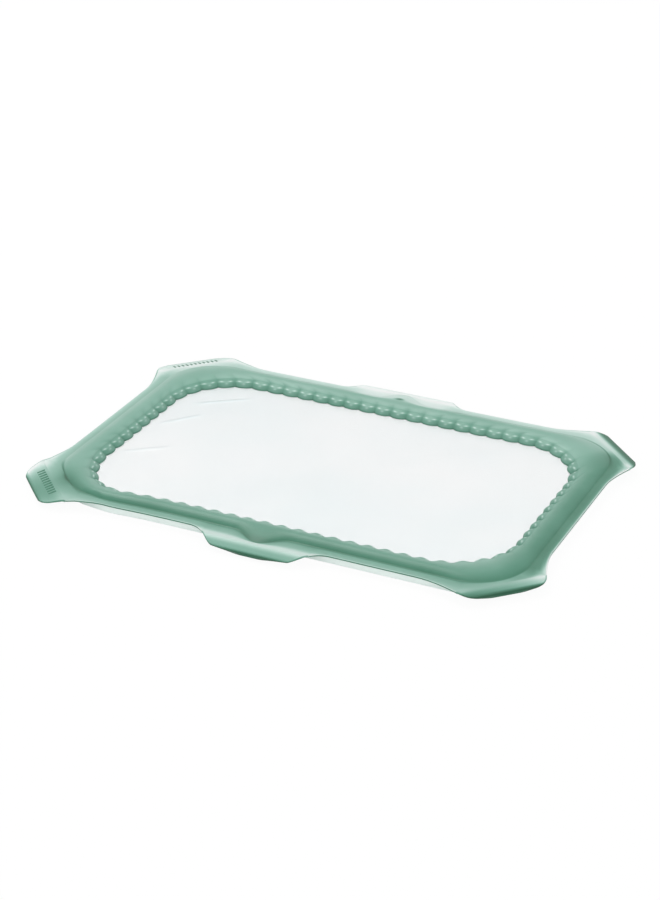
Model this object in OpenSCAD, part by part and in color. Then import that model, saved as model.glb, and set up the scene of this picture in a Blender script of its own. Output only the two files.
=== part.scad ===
// Rectangular stretch lid for an oven dish: a clear silicone film in a green silicone frame.
// Millimetres, +Z up. The origin is the middle of the lid on the plane that its skirt stands on.
// +X runs along the long side, and -Y is the front.

/* [Film window] */
// Length of the clear window between the flutes
window_l = 280; // [230:1:340]
// Width of the clear window between the flutes
window_w = 168; // [130:1:230]
// Corner radius of the clear window
window_r = 43; // [30:1:50]
// Thickness of the clear film
film_t = 0.8; // [0.5:0.1:1.2]
// Height of the film's top face above the foot of the skirt
film_z = 3.4; // [2.4:0.1:5]
// Width of the film's edge that lies under the flutes
film_lap = 4; // [2.5:0.5:5]
// Gap between the film's edge and the foot of the crown that holds it
film_fit = 0.12; // [0.1:0.01:0.3]

/* [Fluted edge] */
// Lobes round the window, a multiple of four
flute_count = 72; // [48:4:96]
// Depth of a lobe in plan
flute_depth = 1.9; // [0.8:0.1:3]
// Height of a lobe's top above the film
flute_h = 3; // [1.5:0.1:4]
// Depth of the dip between two lobes
flute_dip = 0.9; // [0.2:0.1:1.4]
// Width of the fluted edge from the window line to the crown
flute_w = 5.6; // [5.2:0.1:8]

/* [Crown] */
// Distance from the window line to the valley where the brim starts
crown_w = 18; // [15:0.5:24]
// Height of the crown above the film
crown_h = 6; // [5:0.1:9]
// Height of the crown's inner edge, where the flutes end, above the film
crown_in_h = 4.4; // [4.2:0.1:5]
// Wall thickness of the crown
crown_t = 1.7; // [1.2:0.1:2.2]
// Thickness of the crown's foot, which grips the film's edge
foot_t = 1.6; // [1:0.1:2.5]
// Corner radius of the valley
valley_r = 34; // [24:1:44]

/* [Brim] */
// Width of the brim outside the valley
brim_w = 6.3; // [5.5:0.1:9]
// Thickness of the brim and of the tabs
brim_t = 1.2; // [0.8:0.1:1.6]
// Height of the brim's top face above the film
brim_h = 3.4; // [2.8:0.1:4]

/* [Skirt] */
// Thickness of the skirt
skirt_t = 1.2; // [0.8:0.1:1.8]
// Distance from the skirt's outer face to the edge of the brim
skirt_set = 3; // [2:0.1:4]
// Corner radius of the skirt's outer face
skirt_r = 40; // [38:0.5:44]
// Width of the bead inside the skirt's foot
bead_w = 0.8; // [0.4:0.1:1.5]
// Height of the bead
bead_h = 1.6; // [1:0.1:3]

/* [Corner tabs] */
// Length of a left corner tab's free edge, tip to tip
left_tab_l = 45; // [40:1:56]
// How far a left corner tab's free edge stands past the round corner of the brim
left_tab_reach = 12; // [8:0.1:12.5]
// Slope of a left corner tab below level, in degrees
left_droop = 16; // [0:1:17]
// Length of a right corner tab's free edge, tip to tip
right_tab_l = 49; // [40:1:56]
// How far a right corner tab's free edge stands past the round corner of the brim
right_tab_reach = 5.9; // [4:0.1:12]
// Slope of a right corner tab below level, in degrees
right_droop = 10; // [0:1:17]
// Length of the flare along the straight side, up to the round corner of the brim
corner_flare = 22; // [14:1:30]
// Distance from the round corner of the brim in to the fold line
corner_fold_in = 1.3; // [0.5:0.1:2]

/* [Side tabs] */
// Length of a side tab where it leaves the brim
side_tab_root = 94; // [80:1:120]
// Length of the full-depth part of a side tab
side_tab_l = 46; // [20:1:50]
// How far a side tab's free edge stands past the brim, measured before it droops
side_tab_reach = 14.6; // [12:0.1:15]
// Distance from the edge of the brim to the fold line
side_fold = 6; // [4:0.1:7]
// Slope of a side tab below level, in degrees
side_droop = 27; // [0:1:28]

/* [Tab details] */
// Width of the thick lip along a tab's free edge
lip_w = 1.6; // [1.2:0.1:2.4]
// Height of the lip
lip_h = 2.6; // [1.6:0.1:3]
// Gap that the fold line leaves between the brim and a tab
fold_gap = 0.3; // [0.25:0.05:0.5]
// Pitch of the grip ribs on the left corner tabs
rib_pitch = 3; // [2.4:0.1:4]
// Length of a grip rib
rib_l = 5; // [3:0.1:6]
// Width of a grip rib
rib_w = 1.1; // [0.6:0.1:1.6]
// Height of a grip rib
rib_h = 0.4; // [0.2:0.1:0.8]
// Grip ribs on a tab
rib_count = 11; // [5:2:13]

/* [Noses] */
// Length of a nose where it leaves the crown
nose_l = 42; // [20:1:60]
// How far a nose stands out past the valley
nose_reach = 10.2; // [5:0.1:11]

/* [Hidden] */

arc_fn = 96;
root_fn = 32;
lobe_steps = 6;            // stations along one lobe
crown_steps = 2;           // crown stations along one lobe
curve_steps = 10;          // points along one tab curve
far = 400;                 // more than any size of the lid

lobe_full = 0.7;           // how square a lobe is in plan, 1 being a plain sine
// A lobe's wall: distance back from its face, and share of its height
lobe_wall = [[0, 0], [0.15, 0.55], [0.8, 0.9], [1.8, 1]];
slope_bow = 0.1;           // how far the slope behind the lobes bows up
crest_at = 0.48;           // place of the crown's crest, as a share of the way to the valley
crest_square = 1.8;        // how square the crown's shoulders are
under_crest_at = 0.42;     // place of the highest point under the crown, as a share of its hollow
foot_rise = 0.8;           // how high the foot's outer face rises above the film
nose_rows = 3;             // rows of crown points that a nose's root runs down
nose_flare = 0.8;          // how fast a nose's root widens as it comes down the crown

left_tip_round = 8;        // length of the rounding at a left corner tab's tip
right_tip_round = 7;       // length of the rounding at a right corner tab's tip
tip_slope = 0.36;          // how fast a flare leaves the straight side at its tip
flare_soft = 12;           // length of the soft start of a flare
pull = 0.6;                // how far a curve's handle reaches to its corner
end_bow = 0.8;             // how far a side tab's free edge bows out
end_soft = 8;              // length of the rounding at a side tab's end
root_soft = 12;            // length of the soft start of a side tab
brim_bite = 1;             // how far a side tab's outline reaches back into the brim

film_clear = [0.93, 0.97, 0.96, 0.5];
lobe_green = [0.42, 0.66, 0.56];
crown_green = [0.52, 0.72, 0.64];
brim_green = [0.60, 0.77, 0.70];
skirt_green = [0.80, 0.89, 0.85];
lip_green = [0.36, 0.58, 0.48];

half_l = window_l / 2;
half_w = window_w / 2;
quarter_l = (half_l - window_r) + PI * window_r / 2 + (half_w - window_r);
brim_top = film_z + brim_h;
brim_z = brim_top - brim_t;
edge_w = crown_w + brim_w;                    // from the window line to the edge of the brim
edge_r = valley_r + brim_w;
skirt_out = edge_w - skirt_set;
edge_l = half_l + edge_w;                     // half length at the edge of the brim
edge_b = half_w + edge_w;                     // half width at the edge of the brim
fold_set = brim_t / 2 + fold_gap;             // from a fold line back to the edge of the brim
fold_z = brim_top - brim_t / 2;               // height of the fold lines

// Point on a quarter of a rounded rectangle, from the middle of its front to the middle of its
// right side. t runs from 0 to 1 along the window's own quarter, so that rings of other sizes
// pair up with it point by point.
function quarter_point(t, hl, hw, r) =
    let (a = half_l - window_r, arc = PI * window_r / 2, b = half_w - window_r, d = t * quarter_l)
    d < a ? [(hl - r) * d / a, -hw]
    : d < a + arc ? let (w = -90 + 90 * (d - a) / arc) [hl - r + r * cos(w), r - hw + r * sin(w)]
    : [hl, (r - hw) * (1 - (d - a - arc) / b)];

// Point on the whole ring, f from 0 to 1, counter-clockwise from the middle of the front
function ring_point(f, hl, hw, r) =
    let (q = floor(4 * f) % 4, g = 4 * f - floor(4 * f),
         p = quarter_point(q % 2 == 0 ? g : 1 - g, hl, hw, r))
    q == 0 ? p : q == 1 ? [p[0], -p[1]] : q == 2 ? [-p[0], -p[1]] : [-p[0], p[1]];

// Point at distance d outside the window line
function offset_point(f, d) = ring_point(f, half_l + d, half_w + d, window_r + d);

// Point of the crown, d from flute_w at the flutes to crown_w at the valley
function crown_point(f, d) =
    d <= flute_w ? offset_point(f, d)
    : let (u = (d - flute_w) / (crown_w - flute_w))
      (1 - u) * offset_point(f, flute_w) + u * ring_point(f, half_l + crown_w, half_w + crown_w, valley_r);

// Closed tube from a grid of points: n stations round the ring, m points round the section
module ring_solid(points, n, m) {
    polyhedron(points, [for (i = [0:n - 1]) for (j = [0:m - 1])
        let (a = i * m + j, b = i * m + (j + 1) % m,
             c = ((i + 1) % n) * m + (j + 1) % m, d = ((i + 1) % n) * m + j)
        each [[a, b, c], [a, c, d]]]);
}

// How full a lobe is at phase p: 0 in the dip between two lobes, 1 at its middle
function lobe(p) = pow(sin(180 * p), lobe_full);

// Section of the fluted edge at lobe fullness b: distance from the window line, height over the film
function flute_section(b) =
    let (face = flute_depth * (0.5 - b), top = flute_h - flute_dip * (1 - b),
         back = face + lobe_wall[len(lobe_wall) - 1][0])
    concat([for (w = lobe_wall) [face + w[0], top * w[1]]],
           [[(back + flute_w) / 2, (top + crown_in_h) / 2 + slope_bow], [flute_w, crown_in_h], [flute_w, 0]]);

// Height over the film of the crown's top face, u running from 0 at the flutes to 1 at the valley
function crown_top_z(u) = u < crest_at
    ? crown_h - (crown_h - crown_in_h) * pow(1 - u / crest_at, 2)
    : crown_h - (crown_h - brim_h) * pow((u - crest_at) / (1 - crest_at), crest_square);

// Height over the film of the crown's underside, u running from 0 at the foot to 1 at the valley
function crown_under_z(u) = crown_h - crown_t
    - (crown_h - brim_h) * pow(abs(u - under_crest_at) / (1 - under_crest_at), crest_square);

// Section of the crown: distance from the window line, height over the film. It runs out along the
// top face, down the edge that meets the brim, back along the underside and round the foot.
foot_out = flute_w + foot_t;
crown_top = [for (u = [0, 0.16, 0.32, crest_at, 0.63, 0.78, 0.9, 1])
    [flute_w + u * (crown_w - flute_w), crown_top_z(u)]];
crown_under = [for (u = [0.84, 0.66, 0.5, 0.3, 0.12])
    [foot_out + u * (crown_w - foot_out), crown_under_z(u)]];
crown_section = concat(crown_top, [[crown_w, brim_h - brim_t]], crown_under,
    [[foot_out, foot_rise], [foot_out, -film_t], [film_lap, -film_t], [film_lap, 0], [flute_w, 0]]);

// Rectangle with round corners, from its half lengths and its corner radius
module rounded(hl, hw, r) {
    square([2 * (hl - r), 2 * hw], center = true);
    square([2 * hl, 2 * (hw - r)], center = true);
    for (x = [-1, 1], y = [-1, 1]) translate([x * (hl - r), y * (hw - r)]) circle(r, $fn = arc_fn);
}

// Cubic curve through p[0] and p[3] with handles p[1] and p[2]
function curve(p) = [for (i = [0:curve_steps]) let (t = i / curve_steps, s = 1 - t)
    s * s * s * p[0] + 3 * s * s * t * p[1] + 3 * s * t * t * p[2] + t * t * t * p[3]];

// Outlines of the tabs. Each is drawn about a line of symmetry along +X, which points out from the
// lid, and half of it is listed, from the middle of the free edge back to the brim.
// Corner tabs: the origin is the centre of the brim's corner arc.
corner_fold = edge_r - corner_fold_in;
left_end = edge_r + left_tab_reach;
right_end = edge_r + right_tab_reach;
// Point at s along the straight side from the corner arc, p outside it
function side_point(s, p) = [(edge_r + p - s) * sin(45), (edge_r + p + s) * sin(45)];
// Half outline of a corner tab with its free edge at distance end, l long from tip to tip
function corner_half(end, l, round) =
    let (tip = [end, l / 2], start = tip - [0, round], run = round + pull * flare_soft,
         s = (tip[1] - tip[0]) * sin(45), p = (tip[0] + tip[1]) * sin(45) - edge_r,
         flare = side_point(s + round, p - tip_slope * round),
         lead = side_point(s + run, p - tip_slope * run))
    concat([[end, 0]],
           curve([start, start + pull * (tip - start), flare + pull * (tip - flare), flare]),
           curve([flare, lead, side_point(corner_flare - flare_soft, 0), side_point(corner_flare, 0)]));
left_half = corner_half(left_end, left_tab_l, left_tip_round);
right_half = corner_half(right_end, right_tab_l, right_tip_round);

// Side tabs: the origin is the middle of the long side, on the edge of the brim.
side_end = side_tab_l / 2;
side_root = side_tab_root / 2;
side_bow = side_tab_reach - end_bow;
side_half = concat(
    curve([[side_tab_reach, 0], [side_tab_reach, side_end / 3],
           [side_tab_reach - end_bow / 3, 2 * side_end / 3], [side_bow, side_end]]),
    curve([[side_bow, side_end], [side_bow - end_bow / 2, side_end + end_soft],
           [0, side_root - root_soft], [0, side_root]]),
    [[-brim_bite, side_root]]);

// Whole outline from its half: the half, then its mirror image in reverse
module both_halves(half) {
    last = len(half) - 1;
    polygon(concat(half, [for (i = [last:-1:0]) if (half[i][1] > 0) [half[i][0], -half[i][1]]]));
}

// Keeps what lies between two distances along +X
module slice(from, to) {
    intersection() {
        children();
        translate([from, -far / 2]) square([to - from, far]);
    }
}

// Places its children at a corner, x and y being 1 or -1, with +X out along the diagonal
module at_corner(x, y) {
    translate([x * (edge_l - edge_r), y * (edge_b - edge_r), 0]) rotate(atan2(y, x)) children();
}

// Places its children at the middle of a long side, with +X out
module at_side(y) {
    translate([0, y * edge_b, 0]) rotate(y * 90) children();
}

// Turns a tab's own pieces about its fold line at distance fold, so that they droop
module folded(fold, droop) {
    translate([fold, 0, fold_z]) rotate([0, droop, 0]) translate([-fold, 0, 0]) children();
}

// A tab's plate, from its round root on the fold line to its lip
module tab_plate(half, fold, end, root_half, droop) {
    folded(fold, droop) {
        translate([0, 0, -brim_t / 2])
            linear_extrude(brim_t) slice(fold, end - lip_w) both_halves(half);
        translate([fold, root_half, 0]) rotate([90, 0, 0])
            cylinder(2 * root_half, r = brim_t / 2, $fn = root_fn);
    }
}

// The thick lip along a tab's free edge
module tab_lip(half, fold, end, droop) {
    folded(fold, droop) translate([0, 0, brim_t / 2 - lip_h])
        linear_extrude(lip_h) slice(end - lip_w, far) both_halves(half);
}

// Half length of a tab where its outline crosses the distance d: the outline is walked from its
// free edge back, and the crossing piece is cut in proportion.
function half_at(half, d) = [for (i = [0:len(half) - 2])
    let (p = half[i], q = half[i + 1])
    if (p[0] >= d && q[0] < d) p[1] + (q[1] - p[1]) * (p[0] - d) / (p[0] - q[0])][0];

left_root_half = half_at(left_half, corner_fold);
right_root_half = half_at(right_half, corner_fold);
side_root_half = half_at(side_half, side_fold);

module left_tab(y) {
    color(brim_green) at_corner(-1, y)
        tab_plate(left_half, corner_fold, left_end, left_root_half, left_droop);
}

module left_lip(y) {
    color(lip_green) at_corner(-1, y) tab_lip(left_half, corner_fold, left_end, left_droop);
}

module right_tab(y) {
    color(brim_green) at_corner(1, y)
        tab_plate(right_half, corner_fold, right_end, right_root_half, right_droop);
}

module right_lip(y) {
    color(lip_green) at_corner(1, y) tab_lip(right_half, corner_fold, right_end, right_droop);
}

module side_tab(y) {
    color(brim_green) at_side(y)
        tab_plate(side_half, side_fold, side_tab_reach, side_root_half, side_droop);
}

module side_lip(y) {
    color(lip_green) at_side(y) tab_lip(side_half, side_fold, side_tab_reach, side_droop);
}

// A row of ribs on top of a left corner tab, next to its root
module grip_ribs(y) {
    color(lip_green) at_corner(-1, y) folded(corner_fold, left_droop)
        for (i = [0:rib_count - 1])
            translate([corner_fold + brim_t / 2, (i - (rib_count - 1) / 2) * rib_pitch - rib_w / 2,
                       brim_t / 2])
                cube([rib_l, rib_w, rib_h]);
}

module clear_film() {
    film_edge = film_lap - film_fit;
    color(film_clear) translate([0, 0, film_z - film_t]) linear_extrude(film_t)
        rounded(half_l + film_edge, half_w + film_edge, window_r + film_edge);
}

// The lobes along the window. Their back follows the straight runs between the crown's stations,
// so that the two meet face to face.
module fluted_edge() {
    n = flute_count * lobe_steps;
    crown_n = flute_count * crown_steps;
    m = len(flute_section(0));
    points = [for (i = [0:n - 1])
        let (p = (i % lobe_steps) / lobe_steps, section = flute_section(lobe(p)),
             k = floor(i * crown_n / n), u = i * crown_n / n - k,
             rim = (1 - u) * offset_point(k / crown_n, flute_w)
                 + u * offset_point((k + 1) % crown_n / crown_n, flute_w))
        each [for (s = section)
            let (xy = s[0] == flute_w ? rim : offset_point(i / n, s[0]))
            [xy[0], xy[1], film_z + s[1]]]];
    color(lobe_green) ring_solid(points, n, m);
}

module crown() {
    n = flute_count * crown_steps;
    m = len(crown_section);
    points = [for (i = [0:n - 1], s = crown_section)
        let (xy = crown_point(i / n, s[0])) [xy[0], xy[1], film_z + s[1]]];
    color(crown_green) ring_solid(points, n, m);
}

module brim() {
    color(brim_green) translate([0, 0, brim_z]) linear_extrude(brim_t) difference() {
        union() {
            difference() {
                rounded(edge_l, edge_b, edge_r);
                for (x = [-1, 1], y = [-1, 1])
                    at_corner(x, y) translate([corner_fold - fold_set, -far / 2]) square([far, far]);
            }
            for (x = [-1, 1], y = [-1, 1])
                at_corner(x, y) slice(0, corner_fold - fold_set)
                    both_halves(x < 0 ? left_half : right_half);
            for (y = [-1, 1])
                at_side(y) slice(-brim_bite, side_fold - fold_set) both_halves(side_half);
        }
        rounded(half_l + crown_w, half_w + crown_w, valley_r);
    }
}

module skirt() {
    color(skirt_green) linear_extrude(brim_z) difference() {
        rounded(half_l + skirt_out, half_w + skirt_out, skirt_r);
        rounded(half_l + skirt_out - skirt_t, half_w + skirt_out - skirt_t, skirt_r - skirt_t);
    }
}

module skirt_bead() {
    inner = skirt_out - skirt_t;
    color(skirt_green) linear_extrude(bead_h) difference() {
        rounded(half_l + inner, half_w + inner, skirt_r - skirt_t);
        rounded(half_l + inner - bead_w, half_w + inner - bead_w, skirt_r - skirt_t - bead_w);
    }
}

// A wedge at the middle of a long side that runs from the crown's shoulder out over the brim
module nose(y) {
    first = len(crown_top) - 1 - nose_rows;
    reach = min(nose_reach, brim_w + side_fold - fold_set);
    tip = [0, -half_w - crown_w - reach, brim_top];
    wall = [for (k = [1:nose_rows])
        let (s = crown_top[first + k], x = nose_l / 2 * pow(k / nose_rows, nose_flare))
        each [[-x, -half_w - s[0], film_z + s[1]], [x, -half_w - s[0], film_z + s[1]]]];
    ridge = [0, -half_w - crown_top[first][0], film_z + crown_top[first][1]];
    points = concat([tip, ridge], wall);
    faces = concat(
        [[0, 1, 3], [0, 2, 1], [1, 2, 3], [0, 2 * nose_rows + 1, 2 * nose_rows]],
        [for (k = [1:nose_rows - 1]) let (a = 2 * k, b = 2 * k + 1, c = 2 * k + 2, d = 2 * k + 3)
            each [[0, b, d], [0, c, a], [a, c, d], [a, d, b]]]);
    color(crown_green) rotate(y < 0 ? 0 : 180) polyhedron(points, faces);
}

module front_nose() { nose(-1); }
module back_nose() { nose(1); }
module front_left_tab() { left_tab(-1); }
module front_left_lip() { left_lip(-1); }
module front_left_grip_ribs() { grip_ribs(-1); }
module front_right_tab() { right_tab(-1); }
module front_right_lip() { right_lip(-1); }
module back_left_tab() { left_tab(1); }
module back_left_lip() { left_lip(1); }
module back_left_grip_ribs() { grip_ribs(1); }
module back_right_tab() { right_tab(1); }
module back_right_lip() { right_lip(1); }
module front_side_tab() { side_tab(-1); }
module front_side_lip() { side_lip(-1); }
module back_side_tab() { side_tab(1); }
module back_side_lip() { side_lip(1); }

clear_film();
fluted_edge();
crown();
brim();
skirt();
skirt_bead();
front_nose();
back_nose();
front_left_tab();
front_left_lip();
front_left_grip_ribs();
front_right_tab();
front_right_lip();
back_left_tab();
back_left_lip();
back_left_grip_ribs();
back_right_tab();
back_right_lip();
front_side_tab();
front_side_lip();
back_side_tab();
back_side_lip();
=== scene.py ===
"""Looks of a rectangular silicone stretch lid: clear film, green frame, six pull tabs.

Sizes are in millimetres and become metres only where a mesh is written. The frame is the CAD
model's: the origin is the middle of the lid on the plane of the skirt's foot, +X runs along the
long side, -Y is the front and +Z is up.
"""
import logging
import math
from collections.abc import Iterator
from dataclasses import dataclass
from enum import Enum
from functools import cached_property

import bpy
import numpy as np
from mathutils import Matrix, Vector


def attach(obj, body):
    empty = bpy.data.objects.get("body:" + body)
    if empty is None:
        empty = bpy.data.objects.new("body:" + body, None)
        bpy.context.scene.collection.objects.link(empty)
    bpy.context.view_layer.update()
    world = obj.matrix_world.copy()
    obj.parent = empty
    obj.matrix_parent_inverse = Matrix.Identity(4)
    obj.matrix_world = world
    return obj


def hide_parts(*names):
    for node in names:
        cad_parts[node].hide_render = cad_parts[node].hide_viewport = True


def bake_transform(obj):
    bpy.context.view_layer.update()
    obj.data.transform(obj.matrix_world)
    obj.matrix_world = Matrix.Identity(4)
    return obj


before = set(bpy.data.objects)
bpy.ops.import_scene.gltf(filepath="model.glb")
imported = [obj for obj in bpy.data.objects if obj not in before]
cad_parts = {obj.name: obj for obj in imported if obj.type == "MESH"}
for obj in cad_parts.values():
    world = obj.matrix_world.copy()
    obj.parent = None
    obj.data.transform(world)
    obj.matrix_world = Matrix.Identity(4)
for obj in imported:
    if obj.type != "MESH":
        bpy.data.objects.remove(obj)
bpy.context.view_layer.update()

MM = 0.001
LOG = logging.getLogger("stretch_lid")

Pair = tuple[float, float]
Row = tuple[float, ...]
# The same profile point of every section: plan places, heights and depths of pigment
Column = tuple[np.ndarray, np.ndarray | float, np.ndarray | float]
# What a shader node's input takes: a socket to link, or a plain value
Value = bpy.types.NodeSocket | float | Row


# ---------------------------------------------------------------- sizes


@dataclass(frozen=True)
class LidSizes:
    """Driving sizes of the lid in millimetres, the same as the CAD model's."""

    window_l: float = 280.0
    window_w: float = 168.0
    window_r: float = 43.0
    film_t: float = 0.8
    film_z: float = 3.4
    film_lap: float = 4.0
    film_fit: float = 0.12
    flute_count: int = 72
    flute_depth: float = 1.9
    flute_h: float = 3.0
    flute_w: float = 5.6
    crown_w: float = 18.0
    crown_h: float = 6.0
    crown_in_h: float = 4.4
    crown_t: float = 1.7
    foot_t: float = 1.6
    valley_r: float = 34.0
    brim_w: float = 6.3
    brim_t: float = 1.2
    brim_h: float = 3.4
    skirt_t: float = 1.2
    skirt_set: float = 3.0
    skirt_r: float = 40.0
    bead_w: float = 0.8
    bead_h: float = 1.6
    left_tab_l: float = 45.0
    left_tab_reach: float = 12.0
    left_droop: float = 16.0
    right_tab_l: float = 49.0
    right_tab_reach: float = 5.9
    right_droop: float = 10.0
    corner_flare: float = 22.0
    corner_fold_in: float = 1.3
    side_tab_root: float = 94.0
    side_tab_l: float = 46.0
    side_tab_reach: float = 14.6
    side_fold: float = 6.0
    side_droop: float = 27.0
    lip_w: float = 1.6
    lip_h: float = 2.6
    nose_l: float = 42.0
    nose_reach: float = 10.2

    @property
    def half_l(self) -> float:
        """Half length of the window."""
        return self.window_l / 2

    @property
    def half_w(self) -> float:
        """Half width of the window."""
        return self.window_w / 2

    @property
    def brim_top(self) -> float:
        """Height of the brim's top face."""
        return self.film_z + self.brim_h

    @property
    def brim_under(self) -> float:
        """Height of the brim's lower face."""
        return self.brim_top - self.brim_t

    @property
    def edge_w(self) -> float:
        """Distance from the window line to the edge of the brim."""
        return self.crown_w + self.brim_w

    @property
    def edge_r(self) -> float:
        """Corner radius of the brim's edge."""
        return self.valley_r + self.brim_w

    @property
    def corner_centre(self) -> Pair:
        """Centre of the brim's corner arc in the first quadrant."""
        return (self.half_l + self.edge_w - self.edge_r, self.half_w + self.edge_w - self.edge_r)

    @property
    def fold_z(self) -> float:
        """Height of the fold lines."""
        return self.brim_top - self.brim_t / 2


LID = LidSizes()
DIAGONAL = math.sin(math.radians(45))


# ---------------------------------------------------------------- curves and meshes


def smooth(values: np.ndarray | float, low: float, high: float) -> np.ndarray:
    """Smoothstep from 0 at low to 1 at high: 3 t squared less 2 t cubed."""
    t = np.clip((values - low) / (high - low), 0, 1)
    return t * t * (3 - 2 * t)


def bezier(p: list[Pair | np.ndarray], steps: int = 40) -> np.ndarray:
    """Cubic curve through the first and last of four points.

    Args:
        p: The two ends and, between them, the two handles.
        steps: Spans along the curve.

    Returns:
        Points of the curve, one row each.
    """
    t = np.linspace(0, 1, steps + 1)[:, None]
    s = 1 - t
    a, b, c, d = (np.array(q, float) for q in p)
    return s**3 * a + 3 * s * s * t * b + 3 * s * t * t * c + t**3 * d


def arc(x: float, z: float, r: float, *degrees: float) -> list[Pair]:
    """Points on a circle of radius r round (x, z), by their angles from straight up, clockwise."""
    return [(x + r * math.sin(math.radians(a)), z + r * math.cos(math.radians(a))) for a in degrees]


def signed_volume(points: np.ndarray, faces: np.ndarray) -> float:
    """Volume inside a closed mesh of quads, negative where the faces point inwards.

    It is the sum over the faces' two triangles of a sixth of the triple product of their corners.

    Args:
        points: Vertex places, one row each.
        faces: Corner indices, four to a row.

    Returns:
        The volume in the points' own unit, cubed.
    """
    a, b, c, d = (points[faces[:, k]] for k in range(4))
    return float((a * (np.cross(b, c) + np.cross(c, d))).sum() / 6)


def new_object(name: str, data: bpy.types.ID) -> bpy.types.Object:
    """Adds an object to the scene.

    Args:
        name: Name of the object.
        data: Its mesh, lamp or camera.

    Returns:
        The new object, at the origin.
    """
    obj = bpy.data.objects.new(name, data)
    bpy.context.scene.collection.objects.link(obj)
    return obj


def new_mesh(name: str, points: np.ndarray, faces: np.ndarray, depth: np.ndarray | float,
             material: bpy.types.Material) -> bpy.types.Object:
    """Makes a smooth-shaded object from arrays.

    Args:
        name: Name of the object and its mesh.
        points: Vertex places in millimetres, in a grid of any shape.
        faces: Corner indices, four to a row. A row that names a corner twice is a triangle.
        depth: How much pigment the light meets at each vertex, painted light and shade included.
        material: The object's only material.

    Returns:
        The new object.
    """
    depth = np.broadcast_to(depth, points.shape[:-1]).astype(np.float32).reshape(-1)
    points = points.reshape(-1, 3)
    if signed_volume(points, faces) < 0:
        faces = faces[:, ::-1]
    rows = [list(dict.fromkeys(row)) for row in faces.tolist()]
    mesh = bpy.data.meshes.new(name)
    mesh.from_pydata((points * MM).tolist(), [], rows)
    mesh.attributes.new("depth", "FLOAT", "POINT").data.foreach_set("value", depth)
    mesh.polygons.foreach_set("use_smooth", np.ones(len(rows), bool))
    mesh.update()
    mesh.materials.append(material)
    return new_object(name, mesh)


def grid_faces(rows: int, columns: int, close_rows: bool, close_columns: bool) -> np.ndarray:
    """Quads of a grid of points stored row by row.

    Args:
        rows: Number of rows.
        columns: Points in a row.
        close_rows: Whether the last row joins the first.
        close_columns: Whether a row's last point joins its first.

    Returns:
        Corner indices, four to a row.
    """
    i = np.arange(rows if close_rows else rows - 1)[:, None]
    j = np.arange(columns if close_columns else columns - 1)[None, :]
    here, after, beside = i * columns, (i + 1) % rows * columns, (j + 1) % columns
    return np.stack([here + j, after + j, after + beside, here + beside], -1).reshape(-1, 4)


# ---------------------------------------------------------------- outlines


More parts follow.
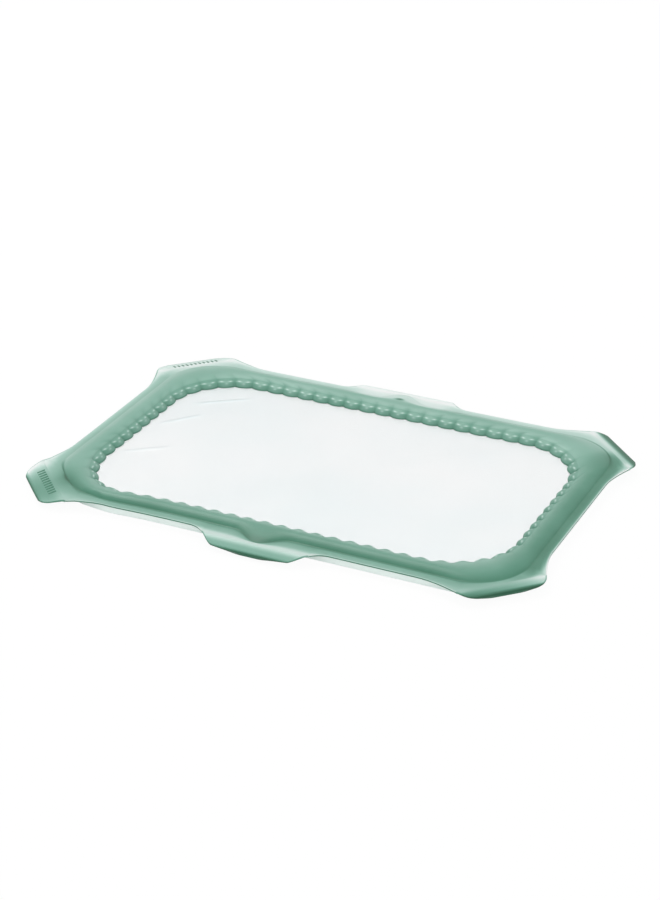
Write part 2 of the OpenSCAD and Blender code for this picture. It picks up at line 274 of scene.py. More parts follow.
@dataclass(frozen=True)
class Outlines:
    """Plan curves of the lid: rounded rings round the window, and the tabs' outlines."""

    lid: LidSizes = LID
    left_tip_round: float = 8.0
    right_tip_round: float = 7.0
    tip_slope: float = 0.36
    flare_soft: float = 12.0
    pull: float = 0.6
    end_bow: float = 0.8
    end_soft: float = 8.0
    root_soft: float = 12.0
    seam_back: float = 1.3

    def ring(self, f: np.ndarray, hl: float, hw: float, r: float) -> np.ndarray:
        """Points of a rounded rectangle that pair up with the window line's own points.

        The ring is walked counter-clockwise from the middle of the front: f from 0 to 1 is the
        share of the window line's length. Each quarter is a straight run, an arc of radius r and
        a second straight run, and quarters two to four are mirror images of the first.

        Args:
            f: Shares of the way round.
            hl: Half length of the rectangle.
            hw: Half width of the rectangle.
            r: Corner radius.

        Returns:
            Points in plan, one row for each share.
        """
        s = self.lid
        a, b = s.half_l - s.window_r, s.half_w - s.window_r
        bow = math.pi * s.window_r / 2
        quarter = np.floor(4 * f).astype(int) % 4
        along = 4 * f - np.floor(4 * f)
        d = np.where(quarter % 2 == 0, along, 1 - along) * (a + bow + b)
        turn = np.clip((d - a) / bow, 0, 1) * math.pi / 2
        x = hl - r + r * np.sin(turn)
        y = r - hw - r * np.cos(turn)
        x = np.where(d < a, (hl - r) * d / a, x)
        y = np.where(d > a + bow, (r - hw) * (1 - (d - a - bow) / b), y)
        return np.stack([np.where(quarter < 2, x, -x), np.where(quarter % 3 == 0, y, -y)], -1)

    def offset(self, f: np.ndarray, d: np.ndarray | float) -> np.ndarray:
        """Points at distance d outside the window line: its own points plus d times its normals.

        Args:
            f: Shares of the way round.
            d: Distance, one for all or one for each share.

        Returns:
            Points in plan, one row for each share.
        """
        s = self.lid
        inner = self.ring(f, s.half_l, s.half_w, s.window_r)
        outer = self.ring(f, s.half_l + 1, s.half_w + 1, s.window_r + 1)
        return inner + (outer - inner) * np.asarray(d)[..., None]

    def valley(self, f: np.ndarray) -> np.ndarray:
        """Points of the valley between the crown and the brim."""
        s = self.lid
        return self.ring(f, s.half_l + s.crown_w, s.half_w + s.crown_w, s.valley_r)

    def normal(self, f: np.ndarray) -> np.ndarray:
        """Outward normals: from the valley to the brim's edge without tabs, over the brim's width.

        Args:
            f: Shares of the way round.

        Returns:
            Normals in plan, one row for each share.
        """
        s = self.lid
        plain = self.ring(f, s.half_l + s.edge_w, s.half_w + s.edge_w, s.edge_r)
        return (plain - self.valley(f)) / s.brim_w

    def side_point(self, s: float, p: float) -> Pair:
        """Corner-frame point at s along the straight side from the arc, and p outside it."""
        r = self.lid.edge_r
        return ((r + p - s) * DIAGONAL, (r + p + s) * DIAGONAL)

    def corner_half(self, x: int) -> np.ndarray:
        """Half of a corner tab's outline, from the middle of its free edge back to the brim.

        Its own +X points out along the diagonal from the centre of the brim's corner arc. A
        straight free edge, a rounded tip and an S-shaped flare follow each other.

        Args:
            x: -1 for a tab at the left end of the lid, 1 for one at the right end.

        Returns:
            Points in the tab's own plan, one row each.
        """
        s = self.lid
        end = s.edge_r + (s.left_tab_reach if x < 0 else s.right_tab_reach)
        tip_y = (s.left_tab_l if x < 0 else s.right_tab_l) / 2
        tip_round = self.left_tip_round if x < 0 else self.right_tip_round
        along, out = (tip_y - end) * DIAGONAL, (end + tip_y) * DIAGONAL - s.edge_r
        run = tip_round + self.pull * self.flare_soft
        tip, start = np.array([end, tip_y]), np.array([end, tip_y - tip_round])
        flare = np.array(self.side_point(along + tip_round, out - self.tip_slope * tip_round))
        lead = self.side_point(along + run, out - self.tip_slope * run)
        soft = self.side_point(s.corner_flare - self.flare_soft, 0)
        near_tip = [start, start + self.pull * (tip - start), flare + self.pull * (tip - flare), flare]
        return np.concatenate([
            [[end, 0]],
            bezier(near_tip),
            bezier([flare, lead, soft, self.side_point(s.corner_flare, 0)])[1:]])

    def side_half(self) -> np.ndarray:
        """Half of a side tab's outline, from the middle of its free edge back to the brim.

        Its own +X points out from the middle of the brim's long edge. A bowed free edge and an
        S-shaped flare follow each other.

        Returns:
            Points in the tab's own plan, one row each.
        """
        reach, end, root = self.lid.side_tab_reach, self.lid.side_tab_l / 2, self.lid.side_tab_root / 2
        bow = reach - self.end_bow
        return np.concatenate([
            bezier([(reach, 0), (reach, end / 3), (reach - self.end_bow / 3, 2 * end / 3), (bow, end)]),
            bezier([(bow, end), (bow - self.end_bow / 2, end + self.end_soft),
                    (0, root - self.root_soft), (0, root)])[1:]])

    @property
    def corner_seam(self) -> float:
        """Distance from the corner arc's centre to the line where a corner tab's piece starts."""
        return self.lid.edge_r - self.lid.corner_fold_in - self.seam_back

    @property
    def side_seam(self) -> float:
        """Distance from the brim's edge to the line where a side tab's piece starts."""
        return self.lid.side_fold - self.seam_back

    def edge(self, f: np.ndarray) -> tuple[np.ndarray, np.ndarray]:
        """Edge of the frame piece, flares included, up to the seams of the tabs.

        Each point lies on the normal of the valley line, at the first of the tab's outline and
        the tab's seam.

        Args:
            f: Shares of the way round.

        Returns:
            Points in plan, and for each whether it lies on a seam, as 1 or 0.
        """
        s = self.lid
        root = self.valley(f)
        cx, cy = s.corner_centre
        ax, ay = np.abs(root[:, 0]), np.abs(root[:, 1])
        beside = np.where(ay > cy, cx - ax, cy - ay)
        straight, outline = np.zeros_like(ax), np.zeros_like(ax)
        angle = np.abs(np.arctan2(ay - cy, ax - cx) - math.pi / 4)
        for x in (-1, 1):
            half = self.corner_half(x)
            run = (half[:, 1] - half[:, 0]) * DIAGONAL
            out = (half[:, 0] + half[:, 1]) * DIAGONAL - s.edge_r
            polar, distance = np.arctan2(half[:, 1], half[:, 0]), np.hypot(half[:, 0], half[:, 1])
            here = root[:, 0] * x > 0
            straight = np.where(here, np.interp(beside, run, out, right=0.0), straight)
            outline = np.where(here, np.interp(angle, polar, distance), outline)
        side = self.side_half()
        side_out = np.interp(ax, side[:, 1], side[:, 0], right=0.0)
        side_reach = np.where(ay > cy, np.minimum(side_out, self.side_seam), 0)
        reach = s.brim_w + np.where(beside > 0, np.maximum(straight, side_reach), 0)
        seam = self.corner_seam / np.cos(angle)
        in_arc = (ax > cx) & (ay > cy)
        reach = np.where(in_arc, np.minimum(outline, seam) - s.valley_r, reach)
        on_seam = np.where(in_arc, seam < outline, (ay > cy) & (side_out > self.side_seam))
        return root + self.normal(f) * reach[:, None], on_seam.astype(float)


PLAN = Outlines()


@dataclass(frozen=True)
class Flex:
    """Soft push at the front left corner: the window bulges out there and the crown narrows."""

    lid: LidSizes = LID
    spread: float = 30.0
    # Distance out along the diagonal from the corner arc's centre, and how far a point there moves
    places: Row = (-60.0, -30.0, 5.0, 12.0, 24.0, 34.0, 37.7)
    moves: Row = (0.0, 1.0, 6.0, 4.5, -1.5, -5.0, 0.0)
    # How far the middle of the push lies towards the front at each place
    lean: Row = (14.0, 14.0, 14.0, 14.0, 4.0, 0.0, 0.0)

    def bend(self, xy: np.ndarray) -> np.ndarray:
        """Moves plan points along the diagonal, by the table's amount times a bell across it.

        Args:
            xy: Points in plan, in a grid of any shape.

        Returns:
            The moved points.
        """
        cx, cy = self.lid.corner_centre
        x, y = -xy[..., 0] - cx, -xy[..., 1] - cy
        out, across = (x + y) * DIAGONAL, (y - x) * DIAGONAL
        bell = np.exp(-(((across - np.interp(out, self.places, self.lean)) / self.spread) ** 2))
        move = np.interp(out, self.places, self.moves) * bell
        return xy - (move * DIAGONAL)[..., None]

    def raised(self, xy: np.ndarray, z: np.ndarray | float) -> np.ndarray:
        """Points over bent plan places, at height z."""
        bent = self.bend(xy)
        return np.concatenate([bent, np.broadcast_to(z, bent.shape[:-1])[..., None]], -1)


FLEX = Flex()


# ---------------------------------------------------------------- finishes


class Pigment(Enum):
    """How strongly a silicone takes up red, green and blue light, in relation to each other."""

    GREEN = (1.88, 1.0, 1.3)
    CLEAR = (1.0, 0.18, 0.1)


def feed(tree: bpy.types.NodeTree, node: bpy.types.Node, inputs: dict[str | int, Value]) -> bpy.types.Node:
    """Gives a node its inputs.

    Args:
        tree: The tree that the node is in.
        node: The node.
        inputs: A socket or a plain value for each input's name or number.

    Returns:
        The node.
    """
    for key, value in inputs.items():
        if isinstance(value, bpy.types.NodeSocket):
            tree.links.new(value, node.inputs[key])
        else:
            node.inputs[key].default_value = value
    return node


def new_node(tree: bpy.types.NodeTree, kind: str, inputs: dict[str | int, Value]) -> bpy.types.Node:
    """Adds a shader node of the kind and gives it its inputs, as feed does."""
    return feed(tree, tree.nodes.new(f"ShaderNode{kind}"), inputs)


def math_node(tree: bpy.types.NodeTree, operation: str, a: Value, b: Value,
              clamp: bool = False) -> bpy.types.NodeSocket:
    """Adds a math node.

    Args:
        tree: The tree that gets the node.
        operation: Name of the operation.
        a: First input, a socket or a number.
        b: Second input, a socket or a number.
        clamp: Whether the result is kept between 0 and 1.

    Returns:
        The node's output.
    """
    node = new_node(tree, "Math", {0: a, 1: b})
    node.operation, node.use_clamp = operation, clamp
    return node.outputs[0]


def silicone_group() -> bpy.types.NodeTree:
    """Shader group of a moulded silicone wall.

    Each channel of the colour is e to the minus depth times the pigment's share in that channel,
    so that a thick wall is darker and greener than a thin one. The inputs are the depth, the
    pigment, the place, and the sizes and strengths of the clouds of tone and of the matt grain.
    The outputs are a colour, a roughness mask and a bump height.

    Returns:
        The new group.
    """
    group = bpy.data.node_groups.new("moulded_silicone", "ShaderNodeTree")
    for name, kind, value in (
        ("Depth", "Float", 0.0),
        ("Pigment", "Vector", (1, 1, 1)),
        ("Vector", "Vector", (0, 0, 0)),
        ("Cloud Scale", "Float", 30.0),
        ("Cloud Amount", "Float", 0.1),
        ("Grain Scale", "Float", 900.0),
    ):
        socket = group.interface.new_socket(name, in_out="INPUT", socket_type=f"NodeSocket{kind}")
        socket.default_value = value
    for name, kind in (("Color", "Color"), ("Mask", "Float"), ("Height", "Float")):
        group.interface.new_socket(name, in_out="OUTPUT", socket_type=f"NodeSocket{kind}")
    get = group.nodes.new("NodeGroupInput").outputs
    put = group.nodes.new("NodeGroupOutput")
    clouds, grain = (
        new_node(group, "TexNoise", {"Vector": get["Vector"], "Scale": get[scale], "Detail": detail})
        for scale, detail in (("Cloud Scale", 3), ("Grain Scale", 2)))
    swing = math_node(group, "SUBTRACT", clouds.outputs["Fac"], 0.5)
    cloud = math_node(group, "MULTIPLY", swing, get["Cloud Amount"])
    depth = math_node(group, "MULTIPLY", get["Depth"], math_node(group, "ADD", cloud, 1.0))
    split = new_node(group, "SeparateXYZ", {0: get["Pigment"]})
    taken = [math_node(group, "MULTIPLY", depth, share) for share in split.outputs]
    left = {k: math_node(group, "POWER", math.exp(-1), power) for k, power in enumerate(taken)}
    join = new_node(group, "CombineColor", left)
    feed(group, put, {
        "Color": join.outputs[0], "Mask": clouds.outputs["Fac"], "Height": grain.outputs["Fac"]})
    return group


@dataclass(frozen=True)
class Silicone:
    """One silicone finish: a satin wall that lets part of the light through.

    A piece's "depth" attribute says how much pigment the light meets at each of its points; on the
    frame, the tabs and the film it also holds painted shade and painted highlights.
    """

    name: str
    slot: str
    pigment: Pigment
    transmission: float
    rough_low: float
    rough_high: float
    own_depth: float = 0.0
    cloud_scale: float = 30.0
    cloud_amount: float = 0.12
    grain_depth: float = 0.00002
    ior: float = 1.41

    def build(self, group: bpy.types.NodeTree) -> bpy.types.Material:
        """Makes the material.

        Args:
            group: The shared group of the moulded wall.

        Returns:
            The new material.
        """
        material = bpy.data.materials.new(self.name)
        material.use_nodes = True
        tree = material.node_tree
        place, depth = new_node(tree, "TexCoord", {}), new_node(tree, "Attribute", {})
        depth.attribute_name = "depth"
        wall = tree.nodes.new("ShaderNodeGroup")
        wall.node_tree = group
        feed(tree, wall, {
            "Vector": place.outputs["Object"],
            "Depth": math_node(tree, "ADD", depth.outputs["Fac"], self.own_depth),
            "Pigment": self.pigment.value,
            "Cloud Scale": self.cloud_scale,
            "Cloud Amount": self.cloud_amount,
        })
        rough = new_node(tree, "MapRange", {
            "Value": wall.outputs["Mask"], "To Min": self.rough_low, "To Max": self.rough_high})
        bump = new_node(tree, "Bump", {"Height": wall.outputs["Height"], "Distance": self.grain_depth})
        feed(tree, tree.nodes["Principled BSDF"], {
            "Base Color": wall.outputs["Color"],
            "Roughness": rough.outputs["Result"],
            "Normal": bump.outputs["Normal"],
            "IOR": self.ior,
            "Transmission Weight": self.transmission,
        })
        return material


FRAME_FINISH = Silicone("frame_silicone", "frame_green", Pigment.GREEN, 0.3, 0.30, 0.42, cloud_amount=0.35)
SKIRT_FINISH = Silicone("skirt_silicone", "skirt_pale", Pigment.GREEN, 0.0, 0.35, 0.45)
TAB_FINISH = Silicone("tab_silicone", "tab_green", Pigment.GREEN, 0.3, 0.28, 0.38, cloud_amount=0.2)
RIB_FINISH = Silicone("rib_silicone", "tab_lip_green", Pigment.GREEN, 0.2, 0.35, 0.45, own_depth=1.5)
FILM_FINISH = Silicone("film_silicone", "clear_film", Pigment.CLEAR, 0.97, 0.20, 0.28, own_depth=0.04,
                       cloud_scale=7.0, cloud_amount=4.0, grain_depth=0.000005)


# ---------------------------------------------------------------- tones of the frame


@dataclass(frozen=True)
class Shade:
    """Painted light and shade over the crown and the brim, as depth of pigment, by tables for the front,
    right and far sides: darker painted shade at the front and right, paler painted light at the far sides.

    A heading is that of the edge's outward normal, in degrees from +X.
    """

    lid: LidSizes = LID
    crown_at: Row = (0.0, 0.3, 0.6, 0.85, 0.95, 1.0)
    # Painted shade and light on the crown: darker towards the valley at the front and right, paler at the
    # far sides
    crown_front: Row = (0.72, 0.84, 1.05, 1.35, 1.5, 1.55)
    crown_right: Row = (0.85, 1.05, 1.2, 1.3, 1.4, 1.45)
    crown_far: Row = (0.76, 0.73, 0.7, 0.64, 0.56, 0.54)
    brim_at: Row = (0.08, 0.2, 0.35, 0.6, 0.85, 0.93, 1.0)
    # Painted shade and light on the brim: dark next to the valley and at the right, pale at the far sides
    brim_front: Row = (1.35, 0.98, 0.82, 0.75, 0.7, 0.68, 0.65)
    brim_right: Row = (1.45, 1.45, 1.42, 1.38, 1.2, 0.85, 0.5)
    brim_far: Row = (0.42, 0.42, 0.4, 0.35, 0.28, 0.24, 0.2)
    # Painted shade in the valley, a dark line: headings, added depth there, and where it starts and
    # ends as shares of the crown and of the brim
    line_at: Row = (-180.0, -170.0, -155.0, -135.0, -110.0, -45.0, 0.0, 30.0, 60.0, 80.0, 110.0, 180.0)
    line: Row = (0.0, 0.4, 0.8, 0.6, 0.1, 0.0, 0.1, 0.6, 0.7, 0.3, 0.15, 0.0)
    line_from: float = 0.95
    line_to: float = 0.2
    # Painted shade on the brim: how dark it is by heading, as a factor
    round_at: Row = (-180.0, -160.0, -135.0, -115.0, -95.0, -60.0, -40.0, -20.0, -3.0, 90.0, 115.0, 135.0,
                     155.0, 180.0)
    round_by: Row = (1.6, 1.6, 1.6, 1.2, 1.0, 1.0, 0.95, 0.6, 1.0, 0.9, 0.6, 0.4, 0.7, 1.6)
    # How much paler the thin flares are, past the edge that the brim has elsewhere
    flare_pale: float = 0.67
    flare_pale_front_corner: float = 0.22
    flare_span: Pair = (0.9, 1.6)
    # Where the corners begin in |x|, and how far the two tones mix across a front corner's diagonal
    corner_from: float = 100.0
    corner_mix: float = 12.0
    # Direction of the near side, how far from square to it the sides mix, and where the right begins
    near_way: Pair = (0.5, -0.87)
    near_mix: float = 0.55
    right_span: Pair = (0.72, 0.98)

    def facing(self, normal: np.ndarray) -> tuple[np.ndarray, np.ndarray]:
        """How near a place is to the front, and how much it belongs to the right side.

        Both are smoothsteps of how far the edge's outward normal points near and right.

        Args:
            normal: Outward normals in plan, one row each.

        Returns:
            Shares of the front and of the right side, from 0 to 1.
        """
        near = smooth(normal @ np.array(self.near_way), -self.near_mix, self.near_mix)
        return near, smooth(normal[:, 0], *self.right_span)

    def mix(self, normal: np.ndarray, *values: float) -> np.ndarray:
        """Mixes a front, a right and a far value by the facing.

        Args:
            normal: Outward normals in plan, one row each.
            values: The three values, front first and far last.

        Returns:
            The mixed value at each normal.
        """
        front, right, far = values
        near, rightness = self.facing(normal)
        mixed = far + (front - far) * near
        return mixed + (right - mixed) * rightness

    def by_heading(self, normal: np.ndarray, places: Row, table: Row) -> np.ndarray:
        """Value of a table at each normal's heading in degrees."""
        return np.interp(np.degrees(np.arctan2(normal[:, 1], normal[:, 0])), places, table)

    def thin(self, place: np.ndarray, distance: np.ndarray) -> np.ndarray:
        """Factor on the brim's depth where it flares out.

        It falls by a smoothstep of the distance. It falls less at a front corner, on the half of
        it that belongs to the long side.

        Args:
            place: Points in plan.
            distance: Their distances from the valley, in widths of the plain brim.

        Returns:
            The factor at each point.
        """
        cx, cy = self.lid.corner_centre
        ax, y = np.abs(place[:, 0]), place[:, 1]
        long_half = smooth(cx - ax - cy - y, -self.corner_mix, self.corner_mix)
        share = long_half * (ax > self.corner_from) * (y < 0)
        amount = self.flare_pale + (self.flare_pale_front_corner - self.flare_pale) * share
        return 1 - amount * smooth(distance, *self.flare_span)

    def valley_line(self, normal: np.ndarray) -> np.ndarray:
        """Added depth of the painted dark line of shade in the valley."""
        return self.by_heading(normal, self.line_at, self.line)

    def crown(self, u: float, normal: np.ndarray) -> np.ndarray:
        """Depth of pigment over the crown, with painted light and shade: the mixed tables, and the valley's
        painted dark line near the end.

        Args:
            u: Share of the way from the flutes to the valley.
            normal: Outward normals in plan, one row each.

        Returns:
            The depth at each normal.
        """
        tables = (self.crown_front, self.crown_right, self.crown_far)
        depth = self.mix(normal, *(np.interp(u, self.crown_at, table) for table in tables))
        return depth + self.valley_line(normal) * smooth(u, self.line_from, 1.0)

    def brim(self, t: float, normal: np.ndarray) -> np.ndarray:
        """Depth of pigment over the brim, with painted light and shade: the mixed tables by the heading's
        factor, and the painted valley line.

        Args:
            t: Share of the way from the valley to the edge.
            normal: Outward normals in plan, one row each.

        Returns:
            The depth at each normal.
        """
        tables = (self.brim_front, self.brim_right, self.brim_far)
        depth = self.mix(normal, *(np.interp(t, self.brim_at, table) for table in tables))
        depth = depth * self.by_heading(normal, self.round_at, self.round_by)
        return depth + self.valley_line(normal) * (1 - smooth(t, 0.0, self.line_to))


SHADE = Shade()


# ---------------------------------------------------------------- the frame


@dataclass
class FrameSkin:
    """The green frame as one moulding: flutes, crown, noses, brim and foot.

    It is a grid of sections that stand at stations evenly spread round the lid. Each method that
    gives columns gives one profile point of every section at a time, in order round the profile.
    """

    lid: LidSizes = LID
    plan: Outlines = PLAN
    shade: Shade = SHADE
    lobe_stations: int = 18
    lobe_full: float = 0.7
    lobe_dip: float = 0.3
    lobe_dip_front: float = 1.1
    # How much higher the front's lobes are, how deep the grooves between lobes run into the crown,
    # and the share of the way to the valley where they end
    lobe_lift_front: float = 0.4
    groove: float = 0.4
    groove_end: float = 0.3
    # Painted shade between the lobes, as added depth of pigment: on their walls, on their tops and on the
    # crown
    wall_gap: float = 0.25
    top_gap: float = 0.18
    crown_gap: float = 0.12
    # The lobes' tops: shares of the way to the crown, from and to, how many, and where they level out
    top_rows: tuple[float, float, int] = (0.12, 0.92, 7)
    top_level: float = 1.25
    # The crown's columns: shares of the way to the valley, from and to, and how many
    crown_rows: tuple[tuple[float, float, int], ...] = ((0.0, 0.42, 7), (0.48, 1.0, 14))
    crest_at: float = 0.48
    crest_square: float = 1.8
    edge_round: float = 0.5
    seam_round: float = 0.02
    nose_power: float = 1.25
    # Rounding of the valley: height and width, and its share by heading in degrees
    fillet_h: float = 0.55
    fillet_w: float = 3.0
    fillet_at: Row = (-180.0, -170.0, -145.0, 60.0, 90.0, 130.0, 180.0)
    fillet_by: Row = (1.0, 0.7, 0.0, 0.0, 0.5, 1.0, 1.0)
    # Depth of pigment of the lobes at the front, at the right and at the far sides, darker at the right as
    # painted shade
    lobe_tones: Row = (0.78, 0.9, 0.84)
    # Small crease on the back nose, painted as a dark streak of shade: half width, share of the way to the
    # valley, spread, depth
    nose_crease_shade: tuple[float, float, float, float] = (2.6, 0.65, 0.04, 1.8)
    # How much paler the crown's outer slope and the brim are in front of the back side tab, and the
    # spans over which that starts, in shares of the way to the valley, and ends, in |x|
    back_pale: float = 0.6
    back_from: Pair = (0.5, 0.7)
    back_end: Pair = (24.0, 44.0)
    # Added depth of the thin dark line at the edge of the far flares, painted shade that the edge
    # shows seen edge-on, the share of the way to the edge where it starts, and the widths of the brim
    # over which a flare counts
    flare_line: float = 0.8
    flare_line_from: float = 0.92
    flare_span: Pair = (1.1, 1.5)
    # Knobs on a lobe: place along it as a share, distance behind its face, half widths along and
    # across in the same units, height, and how much paler, a painted highlight on each knob
    knobs: tuple[Row, ...] = (
        (0.27, 3.6, 0.11, 0.6, 0.14, 0.7),
        (0.77, 3.6, 0.11, 0.6, 0.14, 0.7),
        (0.5, 2.0, 0.10, 0.5, 0.08, 0.45),
    )
    # A lobe's wall: distance behind its face, share of its height, and added depth of pigment, painted shade
    # where the wall meets the film
    lobe_wall: tuple[Row, ...] = (
        (0.0, 0.0, 0.4), (0.06, 0.14, 0.3), (0.22, 0.27, 0.15), (0.55, 0.38, 0.05), (0.95, 0.49, 0.0),
        (1.35, 0.6, 0.0), (1.75, 0.71, 0.0), (2.15, 0.82, 0.0), (2.55, 0.92, 0.0), (3.0, 1.0, 0.0),
    )
    # The brim's rounded edge, its upper and its lower arc: angle from straight up, and the depth of
    # pigment added at the far side, at the front and, on top of these, at the right: a painted
    # highlight on the upper arc's top at the front, and painted shade further round and on the lower arc
    edge_upper: tuple[Row, ...] = (
        (22.5, 0.3, -0.3, 0.0), (45.0, 0.5, -0.3, 0.0), (67.5, 0.6, 0.3, 0.0), (90.0, 0.6, 1.0, 0.0))
    edge_lower: tuple[Row, ...] = (
        (90.0, 0.385, 1.1, 0.77), (112.5, 0.385, 1.1, 0.77), (135.0, 0.315, 0.9, 0.63),
        (157.5, 0.14, 0.4, 0.28), (180.0, 0.07, 0.2, 0.14))
    # Underside: shares of the way from the foot to the valley, its highest share, the span over
    # which the noses push it out, and its depth of pigment
    under_at: Row = (1.0, 0.92, 0.84, 0.75, 0.66, 0.5, 0.4, 0.3, 0.2, 0.12, 0.05)
    under_crest: float = 0.42
    under_push: Pair = (0.4, 1.0)
    under_depth: float = 0.8
    # How far over the film the foot's outer face meets the crown, and the foot's depth of pigment
    foot_up: float = 0.8
    foot_depth: float = 1.0

    @cached_property
    def share(self) -> np.ndarray:
        """Share of the way round at each station."""
        count = self.lid.flute_count * self.lobe_stations
        return np.arange(count) / count

    @cached_property
    def phase(self) -> np.ndarray:
        """Phase within a lobe at each station, from 0 to 1."""
        return (self.share * self.lid.flute_count) % 1.0

    @cached_property
    def full(self) -> np.ndarray:
        """Fullness of the lobes: the sine of the phase times half a turn, to the power lobe_full."""
        return np.sin(math.pi * self.phase) ** self.lobe_full

    @cached_property
    def valley(self) -> np.ndarray:
        """Places of the valley in plan, without the noses."""
        return self.plan.valley(self.share)

    @cached_property
    def normal(self) -> np.ndarray:
        """Outward normals of the edge in plan."""
        return self.plan.normal(self.share)

    @cached_property
    def push(self) -> np.ndarray:
        """How far a nose pushes the valley out.

        It is nose_reach times half of one plus the cosine of pi times |x| over half the nose's
        length, to the power nose_power, on the front and back runs.

        Returns:
            The push at each station.
        """
        on_long_side = np.abs(self.valley[:, 1]) > self.lid.corner_centre[1]
        away = np.clip(2 * np.abs(self.valley[:, 0]) / self.lid.nose_l, 0, 1)
        swell = np.where(on_long_side, 0.5 + 0.5 * np.cos(math.pi * away), 0) ** self.nose_power
        return self.lid.nose_reach * swell

    @cached_property
    def pale(self) -> np.ndarray:
        """How much paler the frame is in front of the back side tab, from 0 to back_pale."""
        behind = 1 - smooth(np.abs(self.valley[:, 0]), *self.back_end)
        return self.back_pale * behind * (self.valley[:, 1] > 0)

    def fillet(self, away: np.ndarray | float) -> np.ndarray:
        """Lift that rounds the valley, a parabola that falls to nothing at fillet_w from it."""
        share = self.shade.by_heading(self.normal, self.fillet_at, self.fillet_by)
        return share * self.fillet_h * np.clip(1 - away / self.fillet_w, 0, 1) ** 2

    def crown_height(self, u: float) -> float:
        """Height of the crown's top over the film.

        Inside the crest it is a parabola, and outside it falls with the power crest_square.

        Args:
            u: Share of the way from the flutes to the valley.

        Returns:
            The height, without grooves and rounding.
        """
        s = self.lid
        if u < self.crest_at:
            return s.crown_h - (s.crown_h - s.crown_in_h) * (1 - u / self.crest_at) ** 2
        fall = ((u - self.crest_at) / (1 - self.crest_at)) ** self.crest_square
        return s.crown_h - (s.crown_h - s.brim_h) * fall

    def lobes(self) -> Iterator[Column]:
        """Columns up the lobes' walls and over their tops, knobs included.

        Each lobe is a low pillow. A knob on it is a bell along the lobe times a bell across it, raised
        and made paler as a painted highlight.

        Yields:
            Plan places, heights and depths of pigment.
        """
        s, gap = self.lid, 1 - self.full
        near, _ = self.shade.facing(self.normal)
        face = s.flute_depth * (0.5 - self.full)
        dip = self.lobe_dip + (self.lobe_dip_front - self.lobe_dip) * near
        top = s.flute_h + self.lobe_lift_front * near * self.full - dip * gap
        # Painted shade at the walls' feet and between the lobes
        rows = [(behind, rise * top, more + self.wall_gap * gap) for behind, rise, more in self.lobe_wall]
        last = self.lobe_wall[-1][0]
        for t in np.linspace(*self.top_rows):
            lift = top + smooth(t, 0.0, self.top_level) * (s.crown_in_h - self.groove * gap - top)
            rows.append((last + t * (s.flute_w - face - last), lift, self.top_gap * gap * (1 - t)))
        tone = self.shade.mix(self.normal, *self.lobe_tones)
        for behind, lift, more in rows:
            depth = tone + more
            # The knobs' paleness is a painted highlight
            for along, back, long, wide, high, pale in self.knobs:
                bell = np.exp(-(((behind - back) / wide) ** 2) - ((self.phase - along) / long) ** 2)
                lift, depth = lift + high * bell, depth - pale * bell
            yield self.plan.offset(self.share, face + behind), s.film_z + lift, depth

    def crown(self) -> Iterator[Column]:
        """Columns over the crown, with its noses, the ends of the grooves and the valley's rounding.

        The plan places go in a line from the flutes to the valley, and outside the crest the
        noses push them out.

        Yields:
            Plan places, heights and depths of pigment.
        """
        s = self.lid
        inner = self.plan.offset(self.share, s.flute_w)
        # Painted shade of the crease on the back nose
        half_width, place, spread, dark = self.nose_crease_shade
        nose_shade = dark * np.exp(-((self.valley[:, 0] / half_width) ** 2)) * (self.valley[:, 1] > 0)
        for u in np.concatenate([np.linspace(*rows) for rows in self.crown_rows]):
            out = max((u - self.crest_at) / (1 - self.crest_at), 0)
            ring = (1 - u) * inner + u * self.valley + self.normal * (out * self.push)[:, None]
            fade = 1 - smooth(u, 0.0, self.groove_end)
            height = self.crown_height(u) - self.groove * (1 - self.full) * fade
            height = height + self.fillet((1 - u) * (s.crown_w - s.flute_w))
            # Painted light and shade from the tables, paler in front of the back side tab, with the nose's
            # painted crease shade and painted shade between the lobes
            depth = self.shade.crown(u, self.normal) * (1 - self.pale * smooth(u, *self.back_from))
            depth = depth + nose_shade * math.exp(-(((u - place) / spread) ** 2))
            yield ring, s.film_z + height, depth + self.crown_gap * (0.5 - self.full) * fade

    def brim(self) -> Iterator[Column]:
        """Columns out along the brim and round its edge, which is sharp where a tab takes over.

        The top is flat but for the valley's rounding, and the edge is two arcs of a circle.

        Yields:
            Plan places, heights and depths of pigment.
        """
        s = self.lid
        near, rightness = self.shade.facing(self.normal)
        edge, on_seam = self.plan.edge(self.share)
        root = self.valley + self.normal * self.push[:, None]
        r = np.where(on_seam > 0, self.seam_round, self.edge_round)
        inset = edge - self.normal * r[:, None]
        width = np.hypot(*(edge - self.valley).T) / s.brim_w
        flared = smooth(width, *self.flare_span) * (1 - near) * (1 - on_seam)
        for t in self.shade.brim_at:
            # Painted light and shade from the brim's tables, thinned where the brim flares
            rim = self.shade.brim(t, self.normal) * self.shade.thin(edge, t * width) * (1 - self.pale)
            # Painted dark line of shade along the far flares' edge
            line = self.flare_line * flared * smooth(t, self.flare_line_from, 1.0)
            yield root + (inset - root) * t, s.brim_top + self.fillet(t * s.brim_w * width), rim + line
        for arcs, middle in ((self.edge_upper, s.brim_top - r), (self.edge_lower, s.brim_under + r)):
            for degrees, far, front, right in arcs:
                a = math.radians(degrees)
                # Painted highlight and shade round the brim's edge
                more = (far + (front - far) * near + right * rightness) * (1 - on_seam)
                yield inset + self.normal * (r * math.sin(a))[:, None], middle + r * math.cos(a), rim + more

